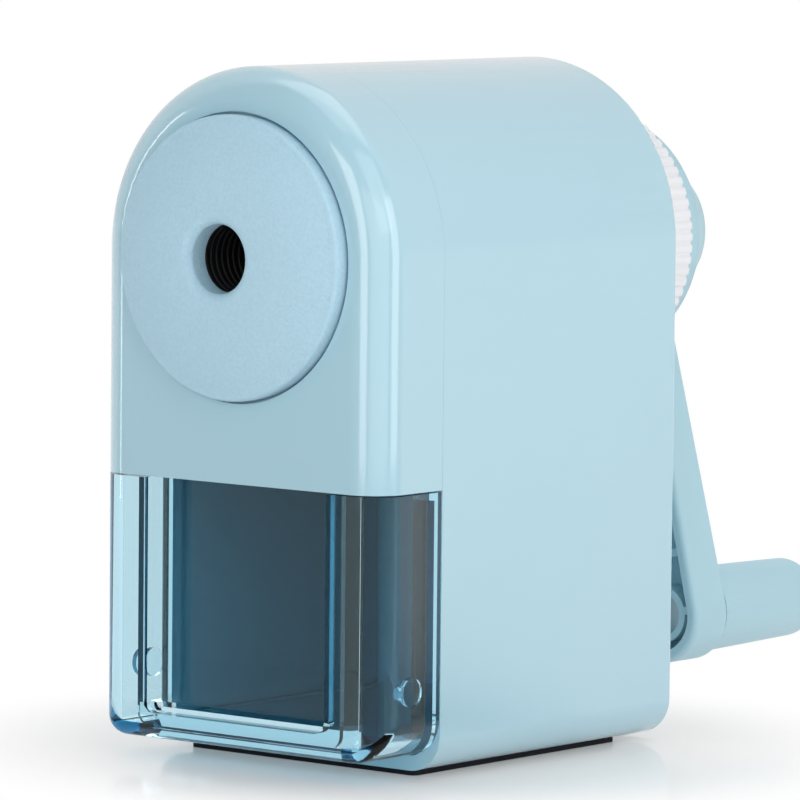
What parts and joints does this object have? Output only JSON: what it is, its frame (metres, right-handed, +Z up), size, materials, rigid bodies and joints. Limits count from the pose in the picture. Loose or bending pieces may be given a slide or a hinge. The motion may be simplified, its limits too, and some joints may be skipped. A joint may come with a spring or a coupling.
{
  "type": "crank pencil sharpener",
  "caption": "Arched desk pencil sharpener: clear shavings drawer, domed face disc with the pencil hole, geared helical cutter, point dial and rear crank with a turning knob.",
  "frame": {"origin": "middle of the rubber pad's underside, on the table", "axes": "+X to the right seen from the pencil hole, +Y from the pencil hole to the crank, +Z up"},
  "size_m": [0.0484, 0.113, 0.0915],
  "materials": {
    "blue_gloss": "glossy pale blue moulding",
    "blue_matte": "fine-textured pale blue moulding",
    "clear_teal": "clear teal moulding",
    "white_plastic": "white moulding",
    "grey_plastic": "dark grey moulding",
    "black_plastic": "black moulding",
    "black_rubber": "fine-pored black rubber",
    "steel": "plain machined steel"
  },
  "bodies": {
    "body": {"housing": "blue_gloss", "front_cover": "blue_gloss", "face_disc": "blue_matte", "pencil_guide": "black_plastic", "base_pad": "black_rubber", "gear_plate": "grey_plastic", "gear_plate_screws": "steel"},
    "crank": {"cutter_carrier": "grey_plastic", "cutter_axle": "steel", "stop_spring": "steel", "crank_arm": "blue_matte", "crank_screw": "steel", "hub_cap": "blue_matte", "handle_pin": "steel"},
    "cutter": {"cutter_roller": "steel", "cutter_pinion": "steel"},
    "stop": {"point_stop": "white_plastic"},
    "knob": {"handle_knob": "blue_matte"},
    "collar": {"adjuster_collar": "white_plastic"},
    "dial": {"adjuster_dial": "white_plastic"},
    "drawer": {"drawer": "clear_teal"}
  },
  "joints": [
    {"name": "crank_turn", "type": "hinge", "parent": "body", "child": "crank", "pos_m": [0, 0, 0.0669], "axis": [0, 1, 0], "continuous": true},
    {"name": "cutter_spin", "type": "hinge", "parent": "crank", "child": "cutter", "pos_m": [0, 0.04043, 0.0669], "axis": [0, 0.9833, -0.1822], "continuous": true},
    {"name": "knob_spin", "type": "hinge", "parent": "crank", "child": "knob", "pos_m": [0.01083, 0, 0.01461], "axis": [0, 1, 0], "continuous": true},
    {"name": "dial_turn", "type": "hinge", "parent": "body", "child": "dial", "pos_m": [0, 0, 0.0669], "axis": [0, 1, 0], "range_deg": [0, 150]},
    {"name": "collar_slide", "type": "slide", "parent": "body", "child": "collar", "axis": [0, 1, 0], "range_m": [0, 0.002]},
    {"name": "stop_slide", "type": "slide", "parent": "crank", "child": "stop", "axis": [0, 1, 0], "range_m": [0, 0.002]},
    {"name": "drawer_slide", "type": "slide", "parent": "body", "child": "drawer", "axis": [0, -1, 0], "range_m": [0, 0.038]}
  ],
  "couplings": [
    {"joint": "cutter_spin", "follows": "crank_turn", "ratio": -3},
    {"joint": "collar_slide", "follows": "dial_turn", "m_per_rad": 0.00076394},
    {"joint": "stop_slide", "follows": "dial_turn", "m_per_rad": 0.00076394}
  ]
}
